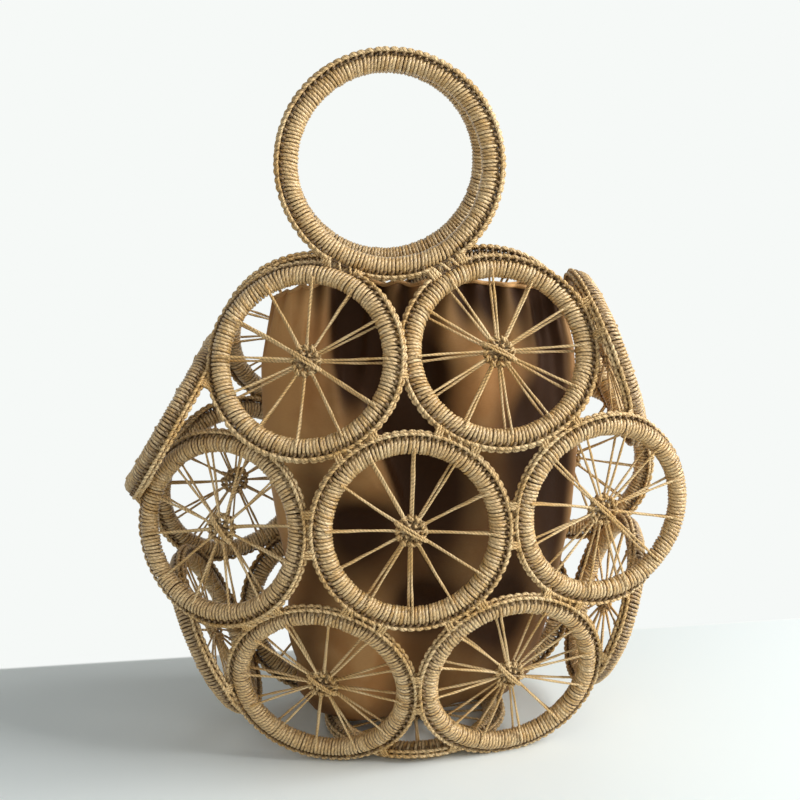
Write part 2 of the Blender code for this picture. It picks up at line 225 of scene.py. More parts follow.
class BagCordSettings(bpy.types.PropertyGroup):
    """Sizes and colours of the paper cord"""

    hoop_radius: size("Hoop Radius", "Centreline radius of a wound hoop", 46.4)
    winding_thickness: size("Winding Thickness", "Thickness of a hoop over its cord", 10.5)
    handle_radius: size("Handle Radius", "Centreline radius of a ring handle", 54.0)
    cord_thickness: size("Cord Thickness", "Thickness of the winding cord", 2.1)
    hoop_turns: count("Hoop Turns", "Turns of cord round a hoop", 150)
    handle_turns: count("Handle Turns", "Turns of cord round a handle", 172)
    spoke_count: count("Spokes", "Doubled spokes in a web", SPOKES)
    stitch_count: count("Edging Stitches", "Chain stitches round a hoop", 76)
    handle_stitch_count: count("Handle Stitches", "Chain stitches round a handle", 86)
    pale: tint("Pale Straw", "Colour of the cord where it is palest", 252, 222, 168)
    straw: tint("Straw", "Colour of most of the cord", 214, 172, 104)
    # Groove Brown: painted shade in the grooves between the plies, and the colour of the paper's fibre
    # streaks.
    groove: tint("Groove Brown", "Colour between the plies", 112, 74, 34)
    # Shade Brown: painted shade between the turns of the winding and where the cord lies sunk in.
    shade: tint("Shade Brown", "Colour between the turns", 74, 46, 20)


class BagLiningSettings(bpy.types.PropertyGroup):
    """Sizes and colours of the satin lining"""

    wall: size("Cloth", "Thickness of the satin", 0.5)
    shift: size("Sideways", "How far the lining sits to the right", 14.0)
    fold_depth: size("Fold Depth", "Depth of the folds at the mouth", 7.0)
    slack: size("Slack", "How far the cloth hangs in between its bulges", 9.0)
    sag: size("Sag", "How far the lining sags to the left, low down", 17.0)
    tuck: size("Tuck", "How far the mouth is drawn up below the front handle", 9.0)
    satin: tint("Satin", "Colour of the satin", 192, 138, 84)
    # Worn Satin: paler patches of the cloth, and painted light on its bulges.
    worn_and_lit: tint("Worn Satin", "Colour where the satin is paler", 220, 172, 114)
    # Crease Brown: painted shade deep in the folds, and the colour of the satin's darker threads.
    crease: tint("Crease Brown", "Colour deep in the folds", 56, 33, 14)


class BagStageSettings(bpy.types.PropertyGroup):
    """The table that the bag stands on, and its light"""

    table: tint("Table", "Colour of the table", 236, 243, 242)
    wall: tint("Wall", "Colour of the wall behind", 246, 249, 247)
    edge: size("Table Edge", "Where the table ends behind the bag", 108.5)
    window: strength("Window", "Strength of the window light, in watts", 37.0)
    room: strength("Room", "Strength of the light from the room, in watts", 9.0)
    daylight: strength("Daylight", "Strength of the light from all round", 0.24)


def deselect():
    for thing in bpy.context.selected_objects:
        thing.select_set(False)


def as_unit(vectors):
    return vectors / np.linalg.norm(vectors, axis=-1, keepdims=True)


def round_place(node, least_reach=0.0):
    """A round node's matrix: Z along its axis, out of the bag, with X to one of its spokes."""
    points = np.array([corner.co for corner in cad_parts[node].data.vertices])
    points = np.unique(points.round(7), axis=0)
    rough = (points.min(0) + points.max(0)) / 2
    points = points[np.linalg.norm(points - rough, axis=1) > least_reach]
    middle = points.mean(axis=0)
    across = np.linalg.svd(points - middle)[2]
    axis = across[2]
    if axis @ (middle - np.array([0.0, 0.0, MIDDLE_HEIGHT])) < 0:
        axis = -axis
    side = as_unit(across[0] - axis * (across[0] @ axis))
    up = np.cross(axis, side)
    turn = np.arctan2((points - middle) @ up, (points - middle) @ side)
    first = np.angle(np.exp(1j * SPOKES * turn).mean()) / SPOKES
    side, up = (
        side * math.cos(first) + up * math.sin(first),
        up * math.cos(first) - side * math.sin(first),
    )
    turned = Matrix(np.column_stack((side, up, axis)).tolist()).to_4x4()
    return Matrix.Translation(Vector(middle)) @ turned


def ring_points(out, turn, z):
    """Points round an axis: how far out, at which turn and how high."""
    return np.stack((out * np.cos(turn), out * np.sin(turn), z), -1)


def spoke_point(out, across, z, turn):
    """A point along a spoke and across it, once the spoke is turned."""
    return (
        out * math.cos(turn) - across * math.sin(turn),
        out * math.sin(turn) + across * math.cos(turn),
        z,
    )


def slow_noise(values, seed, waves=6, lowest=1):
    """A smooth wander from -1 to 1 over whole turns of values."""
    chance = np.random.default_rng(seed)
    total = np.zeros_like(values)
    for k in range(lowest, lowest + waves):
        total += np.sin(k * values + chance.uniform(0, TAU)) * chance.uniform(0.4, 1.0)
    return total / waves * 1.4


class CordWork:
    """Runs of cord that make one piece, with U in metres along each run and V round it."""

    def __init__(self):
        self.corners = []
        self.painted_shades = []
        self.faces = []
        self.uvs = []
        self.count = 0

    def add(self, points, radius, sides=6, ups=None, closed=False, waist=0.0, start=0.0, hollow=0.0):
        """Lay a cord along points: waist is the depth of its plies' groove; the last argument is painted
        shade, from 0 to 1, for where the cord lies sunk in among others.
        """
        points = np.asarray(points, float)
        if closed:
            ahead = np.roll(points, -1, 0) - np.roll(points, 1, 0)
        else:
            ahead = np.gradient(points, axis=0)
        ahead = as_unit(ahead)
        ups = carried_ups(ahead) if ups is None else np.asarray(ups, float)
        sideways = as_unit(np.cross(ahead, ups))
        ups = np.cross(sideways, ahead)
        steps = np.linalg.norm(np.diff(points, axis=0), axis=1)
        along = start + np.concatenate(([0.0], np.cumsum(steps)))
        round_it = np.arange(sides) / sides
        radius = np.broadcast_to(np.asarray(radius, float), (len(points),))
        ply = 2 * TAU * (round_it[None, :] - along[:, None] / CORD_LAY)
        reach = radius[:, None] * (1 - waist + waist * np.cos(ply))
        angle = TAU * round_it
        ring = np.cos(angle)[None, :, None] * ups[:, None, :]
        ring = ring + np.sin(angle)[None, :, None] * sideways[:, None, :]
        corners = points[:, None, :] + reach[:, :, None] * ring
        rows = len(points)
        index = self.count + np.arange(rows * sides).reshape(rows, sides)
        following = np.roll(index, -1, 0) if closed else index[1:]
        here = index if closed else index[:-1]
        faces = np.stack(
            (here, np.roll(here, -1, 1), np.roll(following, -1, 1), following), axis=-1
        ).reshape(-1, 4)
        ends = np.concatenate((along, [along[-1] + np.linalg.norm(points[0] - points[-1])]))
        last = rows if closed else rows - 1
        u_here = np.repeat(ends[:last], sides)
        u_next = np.repeat(ends[1 : last + 1], sides)
        v_here = np.tile(round_it, last)
        v_next = v_here + 1 / sides
        four = ((u_here, v_here), (u_here, v_next), (u_next, v_next), (u_next, v_here))
        uvs = np.stack([np.stack(pair, -1) for pair in four], axis=1)
        self.corners.append(corners.reshape(-1, 3))
        self.painted_shades.append(np.repeat(np.broadcast_to(hollow, (rows,)), sides))
        self.faces += faces.tolist()
        self.uvs.append(uvs.reshape(-1, 2))
        if not closed:
            self.faces.append(index[0][::-1].tolist())
            self.faces.append(index[-1].tolist())
            for row, u in ((round_it[::-1], ends[0]), (round_it, along[-1])):
                self.uvs.append(np.stack((np.full(sides, u), row), -1))
        self.count += rows * sides

    def mesh(self, name):
        made = bpy.data.meshes.new(name)
        made.from_pydata(np.concatenate(self.corners).tolist(), [], self.faces)
        layer = made.uv_layers.new(name="UVMap")
        layer.uv.foreach_set("vector", np.concatenate(self.uvs).ravel())
        # Painted shade, from 0 to 1, where the cord lies sunk in.
        shaded = made.attributes.new("hollow", "FLOAT", "POINT")
        shaded.data.foreach_set("value", np.concatenate(self.painted_shades))
        made.polygons.foreach_set("use_smooth", [True] * len(made.polygons))
        made.update()
        return made


def carried_ups(ahead):
    """Square directions that turn as little as they can along a run."""
    first = np.eye(3)[np.abs(ahead[0]).argmin()]
    ups = [as_unit(np.cross(ahead[0], first))]
    for direction in ahead[1:]:
        up = ups[-1] - direction * (ups[-1] @ direction)
        ups.append(as_unit(up))
    return np.array(ups)


def smoothed(points, count, closed=False):
    """A smooth run of evenly counted points through a few given ones."""
    points = np.asarray(points, float)
    if closed:
        knots = np.concatenate((points[-1:], points, points[:2]))
        spans = len(points)
    else:
        before = 2 * points[:1] - points[1:2]
        after = 2 * points[-1:] - points[-2:-1]
        knots = np.concatenate((before, points, after))
        spans = len(points) - 1
    place = np.linspace(0, spans, count, endpoint=not closed)
    span = np.minimum(place.astype(int), spans - 1)
    t = (place - span)[:, None]
    a, b, c, d = (knots[span + k] for k in range(4))
    square = (2 * a - 5 * b + 4 * c - d) * t**2
    cube = (3 * b - a - 3 * c + d) * t**3
    return 0.5 * (2 * b + (c - a) * t + square + cube)


def add_piece(name, mesh, material, body="bag", stands_for=(), slot="cord"):
    """Put a finished mesh in the scene as one piece, attached to its body if it has one."""
    piece = bpy.data.objects.new(name, mesh)
    bpy.context.scene.collection.objects.link(piece)
    if not mesh.materials:
        mesh.materials.append(material)
    if body:
        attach(piece, body)
    if stands_for:
        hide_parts(*stands_for)
    return piece


def feed(tree, socket, value):
    """Link another node's output to a socket, or set the socket's value."""
    if isinstance(value, bpy.types.NodeSocket):
        tree.links.new(value, socket)
    else:
        socket.default_value = value


def add_shader(tree, kind, settings=None, **inputs):
    """Add a shader node; an input is a value or another node's output, spaces written as underscores."""
    made = tree.nodes.new("ShaderNode" + kind)
    for key, value in (settings or {}).items():
        setattr(made, key, value)
    for key, value in inputs.items():
        feed(tree, made.inputs[key.replace("_", " ")], value)
    return made


def maths(tree, operation, *values):
    made = add_shader(tree, "Math", {"operation": operation})
    for socket, value in zip(made.inputs, values):
        feed(tree, socket, value)
    return made.outputs[0]


def noise(tree, place, scale, detail, roughness=0.5):
    made = add_shader(tree, "TexNoise", Vector=place, Scale=scale, Detail=detail, Roughness=roughness)
    return made.outputs["Fac"]


def object_place(tree):
    return add_shader(tree, "TexCoord").outputs["Object"]


def laid_uv(tree):
    return add_shader(tree, "UVMap", {"uv_map": "UVMap"}).outputs[0]


def attribute(tree, name):
    return add_shader(tree, "Attribute", {"attribute_name": name}).outputs["Fac"]


def seen_rays(tree):
    """1 for the rays that see a surface as it is, and 0 for those that light others."""
    rays = add_shader(tree, "LightPath").outputs
    seen = maths(tree, "MAXIMUM", rays["Is Camera Ray"], rays["Is Glossy Ray"])
    return maths(tree, "MAXIMUM", seen, rays["Is Transmission Ray"])


def new_group(name, inputs, outputs):
    tree = bpy.data.node_groups.new(name, "ShaderNodeTree")
    for label, kind, value in inputs:
        socket = tree.interface.new_socket(name=label, in_out="INPUT", socket_type="NodeSocket" + kind)
        if value is not None:
            socket.default_value = value
    for label, kind in outputs:
        tree.interface.new_socket(name=label, in_out="OUTPUT", socket_type="NodeSocket" + kind)
    return tree, tree.nodes.new("NodeGroupInput").outputs, tree.nodes.new("NodeGroupOutput").inputs


def ply_twist_group():
    """Two plies twisted together: how high a point is on its ply, and the pleats of the paper along it."""
    tree, given, result = new_group(
        "Ply Twist",
        (
            ("Cord UV", "Vector", None),
            ("Lay", "Float", CORD_LAY),
            ("Pleats", "Float", 9.0),
            ("Flecks", "Float", 260.0),
        ),
        (("Ply", "Float"), ("Pleat", "Float"), ("Patch", "Float")),
    )
    parts = add_shader(tree, "SeparateXYZ", Vector=given["Cord UV"])
    turn = maths(tree, "DIVIDE", parts.outputs["X"], given["Lay"])
    phase = maths(tree, "SUBTRACT", parts.outputs["Y"], turn)
    wave = maths(tree, "COSINE", maths(tree, "MULTIPLY", phase, TAU))
    ply = maths(tree, "POWER", maths(tree, "ABSOLUTE", wave), 0.55)
    across = maths(tree, "MULTIPLY", phase, given["Pleats"])
    along = maths(tree, "MULTIPLY", parts.outputs["X"], given["Flecks"])
    pleat_place = add_shader(tree, "CombineXYZ", X=across, Y=along).outputs[0]
    patch_along = maths(tree, "MULTIPLY", parts.outputs["X"], 38.0)
    patch_place = add_shader(tree, "CombineXYZ", X=patch_along).outputs[0]
    tree.links.new(ply, result["Ply"])
    tree.links.new(noise(tree, pleat_place, 1.0, 3.0, 0.6), result["Pleat"])
    tree.links.new(noise(tree, patch_place, 1.0, 2.0), result["Patch"])
    return tree


def blank_material(name):
    material = bpy.data.materials.new(name)
    material.use_nodes = True
    tree = material.node_tree
    return material, tree, tree.nodes["Principled BSDF"]


def mix_colours(tree, share, first, second):
    made = add_shader(tree, "Mix", {"data_type": "RGBA"})
    feed(tree, made.inputs[0], share)
    for socket, colour in ((made.inputs[6], first), (made.inputs[7], second)):
        feed(tree, socket, colour if isinstance(colour, bpy.types.NodeSocket) else (*colour, 1))
    return made.outputs[2]


def spread(tree, value, low, high):
    """Stretch a value between two limits to 0 and 1."""
    smooth = {"interpolation_type": "SMOOTHSTEP"}
    return add_shader(tree, "MapRange", smooth, Value=value, From_Min=low, From_Max=high).outputs[0]


def dress(tree, shader, colour, rough, height, bump, specular):
    """Give a finish its colour, roughness, shine and bump, which is a strength and a height."""
    feed(tree, shader.inputs["Base Color"], colour)
    feed(tree, shader.inputs["Roughness"], rough)
    bumped = add_shader(tree, "Bump", Height=height, Strength=bump[0], Distance=bump[1])
    feed(tree, shader.inputs["Normal"], bumped.outputs[0])
    feed(tree, shader.inputs["Specular IOR Level"], specular)


def straw_ground(tree, settings, twist, cloud_scale, patches, palest):
    """Straw that pales in patches along the cord and in clouds through space."""
    clouds = noise(tree, object_place(tree), cloud_scale, 3.0)
    clouds = maths(tree, "MULTIPLY", clouds, 1 - patches)
    tone = maths(tree, "MULTIPLY_ADD", twist["Patch"], patches, clouds)
    return mix_colours(tree, spread(tree, tone, 0.36, palest), settings.straw, settings.pale)


def in_shade(tree, settings, colour, share):
    """Painted shade: darken a colour where the cord lies sunk in among others."""
    hollow = maths(tree, "MULTIPLY", attribute(tree, "hollow"), share)
    return mix_colours(tree, hollow, colour, settings.shade)


def paper_cord(settings, group):
    """Two-ply paper cord of webs, edging and lashings: pale ridges, painted shade in the grooves, uneven
    straw patches.
    """
    material, tree, shader = blank_material("paper_cord")
    twist = add_shader(tree, "Group", {"node_tree": group}, Cord_UV=laid_uv(tree)).outputs
    body = straw_ground(tree, settings, twist, cloud_scale=42.0, patches=0.6, palest=0.62)
    pleats = maths(tree, "MULTIPLY", spread(tree, twist["Pleat"], 0.62, 0.4), 0.35)
    pleated = mix_colours(tree, pleats, body, settings.groove)
    # Painted shade in the grooves between the plies.
    grooved = mix_colours(tree, spread(tree, twist["Ply"], 0.68, 0.2), pleated, settings.groove)
    shaded = in_shade(tree, settings, grooved, 0.85)
    rough = maths(tree, "MULTIPLY_ADD", twist["Pleat"], 0.3, 0.3)
    height = maths(tree, "MULTIPLY_ADD", twist["Pleat"], 0.25, twist["Ply"])
    dress(tree, shader, shaded, rough, height, CORD_BUMP, specular=0.4)
    return material


def wound_cord(settings, group):
    """The same cord wound tight: each turn is pale along its crown, with painted shade where turns meet."""
    material, tree, shader = blank_material("wound_cord")
    uv = laid_uv(tree)
    tight = {"Cord_UV": uv, "Lay": 7.0 * mm, "Flecks": 520.0}
    twist = add_shader(tree, "Group", {"node_tree": group}, **tight).outputs
    round_cord = add_shader(tree, "SeparateXYZ", Vector=uv).outputs["Y"]
    crown = maths(tree, "COSINE", maths(tree, "MULTIPLY", round_cord, TAU))
    body = straw_ground(tree, settings, twist, cloud_scale=60.0, patches=0.75, palest=0.64)
    # Painted shade in the grooves between the twisted plies of each turn.
    ply_groove_shade = maths(tree, "MULTIPLY", spread(tree, twist["Ply"], 0.6, 0.1), 0.5)
    ply_shaded = mix_colours(tree, ply_groove_shade, body, settings.groove)
    fibres = maths(tree, "MULTIPLY", spread(tree, twist["Pleat"], 0.6, 0.38), 0.6)
    streaked = mix_colours(tree, fibres, ply_shaded, settings.groove)
    # Painted shade where the turns meet, away from each turn's crown.
    shaded_between_turns = mix_colours(tree, spread(tree, crown, 0.9, 0.28), streaked, settings.shade)
    shaded = in_shade(tree, settings, shaded_between_turns, 0.5)
    rough = maths(tree, "MULTIPLY_ADD", twist["Pleat"], 0.35, 0.2)
    height = maths(tree, "MULTIPLY_ADD", twist["Pleat"], 0.6, twist["Ply"])
    dress(tree, shader, shaded, rough, height, CORD_BUMP, specular=0.7)
    return material


def hoop_core():
    """The hidden hoop and the shade between the turns of cord."""
    material, tree, shader = blank_material("hoop_core")
    place = object_place(tree)
    grain = noise(tree, place, 900.0, 2.0)
    colour = mix_colours(tree, grain, srgb(52, 34, 16), srgb(92, 64, 32))
    tree.links.new(colour, shader.inputs["Base Color"])
    shader.inputs["Roughness"].default_value = 0.9
    return material


def brown_satin(settings):
    """Brown satin: fine rows across the cloth, a soft sheen, painted shade deep in its creases and painted
    light on its bulges.
    """
    material, tree, shader = blank_material("brown_satin")
    uv = laid_uv(tree)
    place = object_place(tree)
    crease = attribute(tree, "crease")
    rows = add_shader(tree, "Mapping", Vector=uv, Scale=(1.0, 14.0, 1.0)).outputs[0]
    weave = noise(tree, rows, 420.0, 2.0)
    clouds = noise(tree, place, 22.0, 5.0)
    warm = mix_colours(tree, spread(tree, clouds, 0.35, 0.68), settings.satin, settings.worn_and_lit)
    # Painted light on the bulges, where the cloth stands out furthest.
    painted_bulge_light = maths(tree, "MULTIPLY", spread(tree, crease, 0.12, 0.0), 0.7)
    warm = mix_colours(tree, painted_bulge_light, warm, settings.worn_and_lit)
    threads = mix_colours(tree, maths(tree, "MULTIPLY", weave, 0.25), warm, settings.crease)
    # Painted shade: the further in the cloth lies, the nearer to crease brown.
    deep = spread(tree, crease, 0.1, 0.85)
    shaded = mix_colours(tree, deep, threads, settings.crease)
    rough = maths(tree, "MULTIPLY_ADD", weave, 0.2, 0.4)
    height = maths(tree, "MULTIPLY_ADD", weave, 0.3, maths(tree, "MULTIPLY", clouds, 2.0))
    dress(tree, shader, shaded, rough, height, SATIN_BUMP, specular=0.12)
    shader.inputs["Anisotropic"].default_value = 0.4
    return material


def pale_table(settings):
    """A pale table that keeps the bag's shadow, and a plain white wall beyond its far edge."""
    material, tree, shader = blank_material("pale_table")
    place = object_place(tree)
    depth = add_shader(tree, "SeparateXYZ", Vector=place).outputs["Y"]
    beyond = spread(tree, depth, settings.edge - 2 * mm, settings.edge + 2 * mm)
    reach = add_shader(tree, "VectorMath", {"operation": "LENGTH"}, Vector=place).outputs["Value"]
    beyond = maths(tree, "MAXIMUM", beyond, spread(tree, reach, 0.5, 1.1))
    grain = noise(tree, place, 3.0, 3.0)
    top = mix_colours(tree, maths(tree, "MULTIPLY", grain, 0.2), settings.table, settings.wall)
    tree.links.new(mix_colours(tree, beyond, top, settings.wall), shader.inputs["Base Color"])
    shader.inputs["Roughness"].default_value = 0.5
    glow = add_shader(tree, "Emission", Color=(*settings.wall, 1))
    both = add_shader(tree, "MixShader")
    parts = (maths(tree, "MULTIPLY", beyond, seen_rays(tree)), shader.outputs[0], glow.outputs[0])
    for socket, part in zip(both.inputs, parts):
        tree.links.new(part, socket)
    tree.links.new(both.outputs[0], tree.nodes["Material Output"].inputs["Surface"])
    return material


def hoops():
    """Every panel and gusset hoop by name, as a matrix."""
    webs = [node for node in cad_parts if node.endswith("_web")]
    return {node.removesuffix("_web"): round_place(node, WEB_REACH) for node in webs}


def handles():
    return {node: round_place(node) for node in ("front_handle", "back_handle")}


def winding(radius, thickness, cord, turns, seed):
    """Cord wound closely round a hoop, in the hoop's own frame, with turns that lean and bunch a little."""
    steps = 12
    half = steps // 2
    t = np.arange(turns * steps) / steps
    round_hoop = TAU * t / turns
    round_cord = TAU * t
    lean = slow_noise(round_hoop, seed, 9, 3) * 1.9 * mm / radius
    chance = np.random.default_rng(seed + 1)

    def by_turn(values):
        held = np.repeat(values, steps)
        blur = np.ones(steps + 1) / (steps + 1)
        return np.convolve(np.concatenate((held[-half:], held, held[:half])), blur, "valid")

    nudge = by_turn(chance.normal(0, 0.15 * mm, turns)) / radius
    lift = by_turn(chance.normal(0, 0.11 * mm, turns))
    plump = by_turn(chance.uniform(0.92, 1.1, turns))
    # Painted shade round the outer rim of each turn, where the edging sits.
    rim = np.clip((np.cos(round_cord) - 0.82) / 0.16, 0, 1)
    major = round_hoop + lean * np.cos(round_cord) + nudge
    reach = thickness / 2 - cord / 2 + lift
    out = radius + reach * np.cos(round_cord)
    points = ring_points(out, major, reach * np.sin(round_cord))
    ups = ring_points(np.cos(round_cord), major, np.sin(round_cord))
    work = CordWork()
    work.add(points, cord / 2 * plump, sides=6, ups=ups, closed=True, hollow=rim)
    return work


def core_mesh(radius, thickness, cord):
    """The hoop inside a winding."""
    deselect()
    bpy.ops.mesh.primitive_torus_add(
        major_radius=radius,
        minor_radius=thickness / 2 - 0.85 * cord,
        major_segments=72,
        minor_segments=10,
    )
    made = bpy.context.object
    mesh = made.data.copy()
    bpy.data.objects.remove(made)
    return mesh


def ring_edge(place, radius, seat, turn, tilt):
    """Points on a hoop's winding: turn goes round the hoop, tilt from its rim to its outer face."""
    local = ring_points(radius + seat * np.cos(tilt), turn, seat * np.sin(tilt))
    return local @ np.array(place.to_3x3()).T + np.array(place.translation)


def off_winding(points, place, radius, thickness):
    """How far points lie outside a hoop's winding."""
    local = (points - np.array(place.translation)) @ np.array(place.to_3x3())
    flat = np.hypot(local[..., 0], local[..., 1]) - radius
    return np.hypot(flat, local[..., 2]) - thickness / 2


@lru_cache(maxsize=None)
def edging_tilts(hoop_radius, handle_radius, thickness):
    """How far each hoop's edging tilts to its outer face, all round, to pass its neighbours."""
    turn = np.arange(TILT_STEPS) * TAU / TILT_STEPS
    choices = np.radians(np.arange(-75, 76, 5))
    around = {name: (place, hoop_radius) for name, place in hoops().items()}
    around.update({name: (place, handle_radius) for name, place in handles().items()})
    seat = thickness / 2 + EDGING_SEAT
    laid = []
    tilts = {}
    for name in sorted(around, key=lambda each: (not each.endswith("handle"), "gusset" in each, each)):
        place, radius = around[name]
        wide, ahead = np.meshgrid(choices, turn)
        points = ring_edge(place, radius, seat, ahead, wide)
        rim = ring_edge(place, radius, seat, turn, np.zeros_like(turn)) - np.array(place.translation)
        from_middle = (place.translation.x, place.translation.z - MIDDLE_HEIGHT)
        away = (rim[:, 0] * from_middle[0] + rim[:, 2] * from_middle[1]) / radius
        away = away / max(math.hypot(*from_middle), radius / 2)
        resting, outside = RESTING_TILTS.get(name.split("_", 1)[1], (12.0, 12.0))
        resting = np.radians(resting + (outside - resting) * np.clip((away - 0.1) / 0.4, 0, 1))
        cost = np.abs(wide - resting[:, None])
        for other, (other_place, other_radius) in around.items():
            if other != name:
                clear = off_winding(points, other_place, other_radius, thickness)
                cost += 4 * np.clip(1.7 * mm - clear, 0, None) / mm
        for row in laid:
            if np.linalg.norm(row.mean(0) - np.array(place.translation)) < 4 * radius:
                near = np.linalg.norm(points[:, :, None, :] - row[None, None, ::2, :], axis=-1).min(-1)
                cost += 1.5 * np.clip(3.0 * mm - near, 0, None) / mm
        best = choices[cost.argmin(1)]
        for _ in range(3):
            best = sum(share * np.roll(best, step) for step, share in TILT_BLUR) / 9
        tilts[name] = best
        laid.append(ring_edge(place, radius, seat, turn, best))
    return tilts


def tilt_at(tilts, turn):
    """The tilt of an edging at any turn round its hoop."""
    steps = np.arange(TILT_STEPS + 1) * TAU / TILT_STEPS
    return np.interp(np.mod(turn, TAU), steps, np.append(tilts, tilts[0]))


def chain_edging(radius, thickness, stitches, tilts, seed, bound=()):
    """Chain stitches round the edge of a hoop: two legs to a stitch, and a tie down to the winding.

    There are none where a handle's lashing binds the edge down, so that the handle swings clear.
    """
    chance = np.random.default_rng(seed)
    pitch = TAU / stitches
    share = np.linspace(0, 1, 7)
    work = CordWork()
    turn = np.arange(3 * stitches) * pitch / 3
    tilt = tilt_at(tilts, turn)
    low = thickness / 2 + 0.4 * mm
    points = ring_points(radius + low * np.cos(tilt), turn, low * np.sin(tilt))
    # The low round sits in the slot by the winding, all in painted shade.
    work.add(points, 0.75 * EDGING_CORD, sides=5, closed=True, hollow=1.0)
    for i in range(stitches):
        uneven = chance.uniform(-0.12, 0.12)
        if any(abs(math.remainder((i + 0.7) * pitch - at, TAU)) < BOUND_HALF / radius for at in bound):
            continue
        plump = chance.uniform(0.9, 1.12)
        turn = (i + uneven + 1.45 * share) * pitch
        tilt = tilt_at(tilts, turn)
        for side in (1, -1):
            width = side * plump * (0.15 + 1.35 * np.sin(np.pi * share**0.8)) * mm
            rise = 1.3 * mm * np.sin(np.pi * share**0.9) - STITCH_SINK
            seat = thickness / 2 + EDGING_SEAT + rise
            out = radius + seat * np.cos(tilt) - width * np.sin(tilt)
            z = seat * np.sin(tilt) + width * np.cos(tilt)
            points = ring_points(out, turn, z)
            ups = ring_points(np.cos(tilt), turn, np.sin(tilt))
            thick = EDGING_CORD * (0.72 + 0.28 * np.sin(np.pi * share))
            # Painted shade on the legs where they dip below their seat.
            hollow = np.clip(0.9 - rise / STITCH_SINK, 0, 1)
            work.add(points, thick, sides=6, ups=ups, start=i * 3.1 * mm, hollow=hollow)
        turn = (i + uneven + 0.3) * pitch
        tilt = float(tilt_at(tilts, turn))
        arc = np.linspace(0.95, -0.95, 7)
        down = np.abs(arc / 0.95)
        reach = thickness / 2 + 0.1 * mm + (EDGING_SEAT - 0.1 * mm) * (1 - down**2)
        bow = tilt + arc * 0.62
        lean = turn + 0.35 * pitch * arc
        points = ring_points(radius + reach * np.cos(bow), lean, reach * np.sin(bow))
        # Painted shade on the tie, deepest at its ends by the winding.
        work.add(points, EDGING_CORD * 0.8, sides=5, start=i * 2.3 * mm, hollow=0.35 + 0.65 * down)
    return work


def web(hoop_radius, thickness, spokes, seed, shallow=False):
    """Doubled spokes that cross at the hub and lap over both faces of the hoop, and the hub's knot."""
    work = CordWork()
    chance = np.random.default_rng(seed)
    clear = thickness / 2 + 0.55 * mm
    half = spokes // 2
    bends = chance.normal(0, 0.026, spokes)
    for k in range(half):
        stack = (SPOKE_ORDER[k] - (half - 1) / 2) * 0.62 * mm
        for face in (1, -1):
            run = []
            for end in (1, -1):
                bend = bends[k if end == 1 else k + half]
                middle = TAU * k / spokes + (0 if end == 1 else math.pi)
                stray = chance.normal(0, 0.4 * mm)
                touch, last = SHALLOW_LAP if shallow else (LAP_START, chance.uniform(*LAP_ENDS))
                lap = []
                for angle in np.linspace(touch, last, 5):
                    a = math.radians(angle)
                    high = clear - 0.9 * mm * max(0.0, (touch - angle) / (touch - LAP_SUNK))
                    lap.append((hoop_radius + high * math.cos(a), face * high * math.sin(a)))
                beside_hub = face * 0.85 * mm
                hub = [(2.6 * mm, stack + face * 0.35 * mm), (HUB_RIM, beside_hub + stack * 0.3)]
                reach, edge = lap[0]
                for step in (0.3, 0.65):
                    out = HUB_RIM + (reach - HUB_RIM) * step
                    hub.append((out, beside_hub + (edge - beside_hub) * step))
                side = []
                for out, z in hub + lap:
                    share = min(1.0, out / reach)
                    turn = middle + bend * share
                    across = (face * (0.42 + 0.16 * share) * mm + stray * share**2) * end
                    side.append(spoke_point(out, across, z, turn))
                run = side if end == 1 else side[::-1] + run
            run = smoothed(run, 90)
            # Painted shade on the spokes near the hub.
            hollow = np.clip(1.35 - np.linalg.norm(run[:, :2], axis=1) / (5.6 * mm), 0, 0.85)
            start = chance.uniform(0, 5 * mm)
            work.add(run, SPOKE_CORD, sides=6, waist=PLY_WAIST, start=start, hollow=hollow)
    add_hub(work, spokes, chance)
    return work


def add_hub(work, spokes, chance):
    """The knot of a web: rounds woven over and under the spokes, a loop round each, and a long tie."""
    angle = np.arange(132) * TAU / 132
    half = spokes // 2
    for radius, rise, phase in HUB_ROUNDS:
        wave = np.cos(half * angle + phase) * rise * mm
        uneven = 0.04 * np.cos(spokes * angle + phase) + 0.03 * np.sin(3 * angle + radius)
        points = ring_points(radius * mm * (1 + uneven), angle, wave)
        # Painted shade where each round dips between the spokes.
        hollow = 0.7 * (1 - np.abs(wave) / (rise * mm))
        work.add(points, HUB_CORD, sides=6, closed=True, waist=PLY_WAIST, hollow=hollow)
    loop = np.arange(12) * TAU / 12
    for k in range(spokes):
        turn = TAU * k / spokes + chance.normal(0, 0.05)
        slant = chance.uniform(0.6, 1.5) * mm
        along = (7.1 + chance.uniform(-0.4, 0.4)) * mm + slant * np.cos(loop)
        across = 1.5 * mm * np.cos(loop)
        z = 2.05 * mm * np.sin(loop)
        points = np.stack(spoke_point(along, across, z, turn), -1)
        # Painted shade on the low sides of each loop.
        work.add(points, HUB_CORD * 0.9, sides=6, closed=True, hollow=0.9 * (1 - np.abs(np.sin(loop))))
    for side in (-0.85, 0.85):
        tie = [spoke_point(out, side * (1 - 0.06 * abs(out)), z, TAU / 4) for out, z in HUB_TIE]
        work.add(smoothed(np.array(tie) * mm, 28), SPOKE_CORD * 1.05, sides=7, waist=PLY_WAIST)


def web_turn(name, place, spokes):
    """How far a web turns in its hoop, by whole spokes, so that the hub's tie runs down to the right."""
    own = math.radians(-WEB_TURNS.get(name, 0.0))
    slope = place.to_3x3().inverted() @ Vector((1, 0, -1))
    wanted = math.atan2(slope.y, slope.x) - TAU / 4 - own
    return own + round(wanted * spokes / TAU) * TAU / spokes


def centre_point(place, point, radius):
    """The point of a hoop's centreline nearest to a point in space."""
    local = place.inverted() @ point
    flat = Vector((local.x, local.y, 0)).normalized() * radius
    return place @ flat


